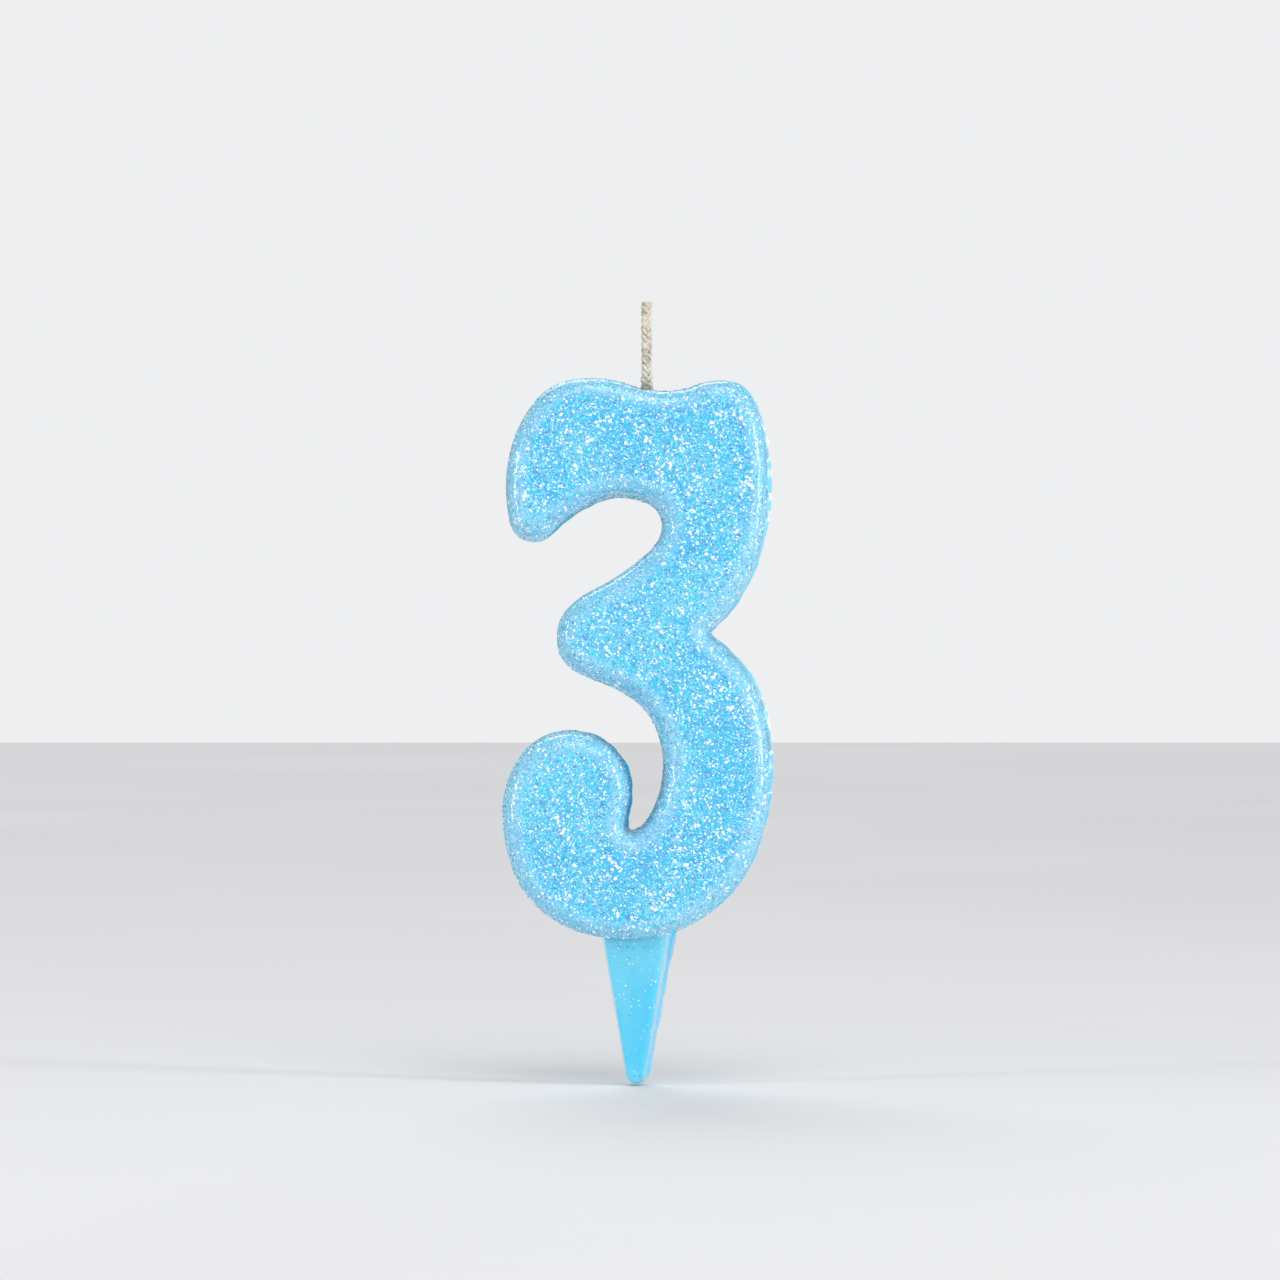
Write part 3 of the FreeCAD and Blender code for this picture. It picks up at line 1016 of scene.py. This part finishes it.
# -------- materials
def blue_wax():
    made, tree, shader = material_start("blue wax")
    cloud = placed(tree, clouding, Clouds_per_metre=70.0, Streak=0.28,
                   Clear=rgb(78, 200, 236), Milky=rgb(108, 208, 236))
    specks = placed(tree, glitter_grain, Grains_per_metre=4600.0, Dot_share=0.0, Spark_share=0.012)
    speckled = sums(tree, "MULTIPLY", specks["Spark"], 0.6)
    colour = blend_colours(tree, speckled, cloud["Color"], rgb(225, 240, 255))
    thin = sums(tree, "MULTIPLY", marked(tree, "thin edge"), 0.75)
    colour = blend_colours(tree, thin, colour, rgb(176, 192, 236))
    set_inputs(shader, {"Base Color": colour,
                        "Roughness": sums(tree, "MULTIPLY_ADD", cloud["Mask"], 0.16, 0.20),
                        "Subsurface Weight": 0.35, "Subsurface Radius": (0.35, 0.8, 1.0),
                        "Subsurface Scale": 1.6 * MM, "IOR": 1.44,
                        "Coat Weight": 0.7, "Coat Roughness": 0.07})
    bump(tree, shader, cloud["Height"], 0.35, 0.12)
    return made


def glitter_glue():
    made, tree, shader = material_start("glitter glue")
    cloud = placed(tree, clouding, Clouds_per_metre=110.0, Streak=0.0,
                   Clear=rgb(56, 180, 226), Milky=rgb(92, 198, 228))
    # Painted shade: the colour is made deeper along the channel inside the rim, patchy with the clouding.
    patchy = sums(tree, "MULTIPLY_ADD", cloud["Mask"], -0.5, 0.7)
    channel_shade = sums(tree, "MULTIPLY", marked(tree, "channel"), patchy)
    body = blend_colours(tree, channel_shade, cloud["Color"], rgb(48, 176, 232))
    # The grain's white spark cells here are painted glints.
    grain = placed(tree, glitter_grain, Main=body)
    # Painted light: the glue is made paler over the rounding, where it would catch the side lamps.
    painted_rim_light = sums(tree, "MULTIPLY", marked(tree, "rim"), 0.36)
    colour = blend_colours(tree, painted_rim_light, grain["Color"], rgb(166, 212, 240))
    thinned = sums(tree, "MULTIPLY", marked(tree, "hem"), 0.8)
    colour = blend_colours(tree, thinned, colour, rgb(96, 204, 240))
    set_inputs(shader, {"Base Color": colour, "Roughness": grain["Roughness"],
                        "Coat Weight": 0.8, "Coat Roughness": 0.08, "IOR": 1.5})
    bump(tree, shader, grain["Height"], 0.55, 0.05)
    return made


def film(name, first, second, third, second_from, third_from):
    """Polyester film in three tints, with white painted on the flakes marked to shine, as painted glints."""
    made, tree, shader = material_start(name)
    tint = placed(tree, film_tint, First=first, Second=second, Third=third,
                  Second_from=second_from, Third_from=third_from)
    # Painted glints: the marked flakes are made white.
    colour = blend_colours(tree, marked(tree, "shine"), tint["Color"], (1.0, 1.0, 1.0, 1.0))
    set_inputs(shader, {"Base Color": colour, "Roughness": tint["Roughness"], "IOR": 1.6})
    return made


def waxed_cotton():
    made, tree, shader = material_start("waxed cotton")
    cloud = placed(tree, clouding, Clouds_per_metre=420.0, Streak=0.6,
                   Clear=rgb(158, 147, 128), Milky=rgb(208, 197, 178))
    fibres = node(tree, "TexWave", wave_type="BANDS", bands_direction="DIAGONAL")
    set_inputs(fibres, {"Scale": 700.0, "Distortion": 5.0, "Detail": 2.0,
                        "Vector": node(tree, "TexCoord").outputs["Object"]})
    worn = blend_colours(tree, sums(tree, "MULTIPLY", fibres.outputs[1], 0.35),
                         cloud["Color"], rgb(250, 248, 240))
    set_inputs(shader, {"Base Color": worn,
                        "Roughness": sums(tree, "MULTIPLY_ADD", cloud["Mask"], 0.25, 0.42),
                        "Subsurface Weight": 0.2, "Subsurface Radius": (1.0, 0.9, 0.8),
                        "Subsurface Scale": 0.3 * MM})
    bump(tree, shader, fibres.outputs[1], 0.35, 0.04)
    return made


def pale_floor():
    made, tree, shader = material_start("pale floor")
    cloud = placed(tree, clouding, Clouds_per_metre=3.0, Streak=0.0,
                   Clear=(0.75, 0.75, 0.76, 1), Milky=(0.775, 0.775, 0.78, 1))
    set_inputs(shader, {"Base Color": cloud["Color"], "Roughness": 0.75})
    return made


# -------- the pieces
def finished(piece, node_name, finish):
    """Gives a piece its finish, hangs it on the root body and hides the part that it stands for."""
    piece.data.materials.clear()
    piece.data.materials.append(finish)
    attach(piece, "root")
    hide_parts(node_name)


finished(cast_wax(), "wax_body", blue_wax())
finished(glue_film(), "glitter_coat", glitter_glue())
finished(plaited_wick(), "wick", waxed_cotton())

big_pearl = clustered(*sites_on_field(430), 0.45, 0.7)
# The last number of each group is the share of flakes painted white as glints.
finished(flakes("pearl_flakes_loose", [
    (*big_pearl, 0.36, 0.58, 4, 0.85),
    (*sites_on_field(1500), 0.20, 0.32, 16, 0.2),
    (*sites_on_rim(240, 0.5, 1.0), 0.36, 0.56, 12, 0.8),
    (*sites_on_rim(5400, 8.4, 1.3), 0.20, 0.34, 30, 0.2),
    (*sites_on_spike(12), 0.15, 0.3, 12, 0.5),
]), "pearl_flakes",
    film("pearl film", rgb(176, 230, 250), rgb(150, 222, 250), rgb(190, 208, 248), 0.45, 0.75))
finished(flakes("turquoise_flakes_loose", [
    (*sites_on_field(380), 0.34, 0.55, 10, 0.0),
    (*sites_on_field(1700), 0.20, 0.32, 20, 0.0),
    (*sites_on_rim(3400, 8.4, 1.3), 0.20, 0.36, 34, 0.0),
    (*sites_on_spike(22), 0.2, 0.4, 12, 0.0),
]), "turquoise_flakes",
    film("turquoise film", rgb(60, 226, 234), rgb(16, 218, 224), rgb(110, 236, 242), 0.45, 0.8))
finished(flakes("violet_flakes_loose", [
    (*sites_on_field(1300), 0.15, 0.24, 22, 0.0),
    (*sites_on_rim(1300, 8.0, 1.3), 0.16, 0.26, 30, 0.0),
    (*sites_on_spike(7), 0.15, 0.3, 12, 0.0),
]), "violet_flakes",
    film("violet film", rgb(118, 126, 196), rgb(98, 102, 172), rgb(160, 176, 230), 0.5, 0.8))


# -------- floor, light and camera
def stage_floor():
    half = 3.0
    level = cad_box[0][2] - 0.0001
    corners = [(-half, -half, level), (half, -half, level), (half, half, level), (-half, half, level)]
    mesh = bpy.data.meshes.new("floor")
    mesh.from_pydata(corners, [], [(0, 1, 2, 3)])
    floor = in_scene("floor", mesh)
    mesh.materials.append(pale_floor())


def soft_light(name, place, width, height, power, aim):
    lamp = bpy.data.lights.new(name, "AREA")
    lamp.shape = "RECTANGLE"
    lamp.size = width
    lamp.size_y = height
    lamp.energy = power
    holder = in_scene(name, lamp)
    holder.location = place
    holder.rotation_euler = (Vector(aim) - Vector(place)).to_track_quat("-Z", "Y").to_euler()
    holder.visible_camera = False


def window_light(name, strength, wide_deg, turn):
    """Even light from one side of the room, the same all over the floor."""
    lamp = bpy.data.lights.new(name, "SUN")
    lamp.energy = strength
    lamp.angle = math.radians(wide_deg)
    in_scene(name, lamp).rotation_euler = turn


def studio():
    middle = (0.0, 0.0, 0.045)
    soft_light("front right softbox", (0.60, -1.15, 0.50), 1.0, 1.0, 1.6, middle)
    soft_light("front left softbox", (-0.75, -1.0, 0.40), 0.8, 0.8, 1.0, middle)
    soft_light("right strip", (0.72, -0.36, 0.15), 0.035, 0.32, 3.2, (0.0, 0.0, 0.15))
    soft_light("left strip", (-0.74, -0.32, 0.15), 0.035, 0.32, 1.9, (0.0, 0.0, 0.15))
    window_light("high window", 1.1, 40, (math.radians(34), math.radians(8), 0))
    window_light("rear window", 0.8, 40, (math.radians(-48), math.radians(-12), 0))
    studio_air()
    bpy.context.scene.view_settings.view_transform = "Standard"


def studio_air():
    """Even light from all round, with a paler background where the camera looks straight at it."""
    world = bpy.data.worlds.new("studio air")
    world.use_nodes = True
    tree = world.node_tree
    around = tree.nodes["Background"]
    set_inputs(around, {"Color": (0.96, 0.97, 1.0, 1), "Strength": 0.39})
    seen = node(tree, "Background")
    seen.inputs["Color"].default_value = (0.86, 0.865, 0.875, 1)
    either = node(tree, "MixShader")
    tree.links.new(node(tree, "LightPath").outputs["Is Camera Ray"], either.inputs[0])
    tree.links.new(around.outputs[0], either.inputs[1])
    tree.links.new(seen.outputs[0], either.inputs[2])
    tree.links.new(either.outputs[0], tree.nodes["World Output"].inputs["Surface"])
    bpy.context.scene.world = world


def camera():
    """Straight in front, far off with a long lens."""
    shown_width = 0.1945
    away = 0.90
    lens_data = bpy.data.cameras.new("camera")
    lens_data.sensor_width = 36.0
    lens_data.lens = 36.0 * away / shown_width
    lens_data.clip_start = 0.01
    holder = in_scene("camera", lens_data)
    holder.location = (0.00046, back_y * MM - away, 0.0456)
    holder.rotation_euler = (math.radians(90), 0, 0)
    bpy.context.scene.camera = holder


stage_floor()
studio()
camera()
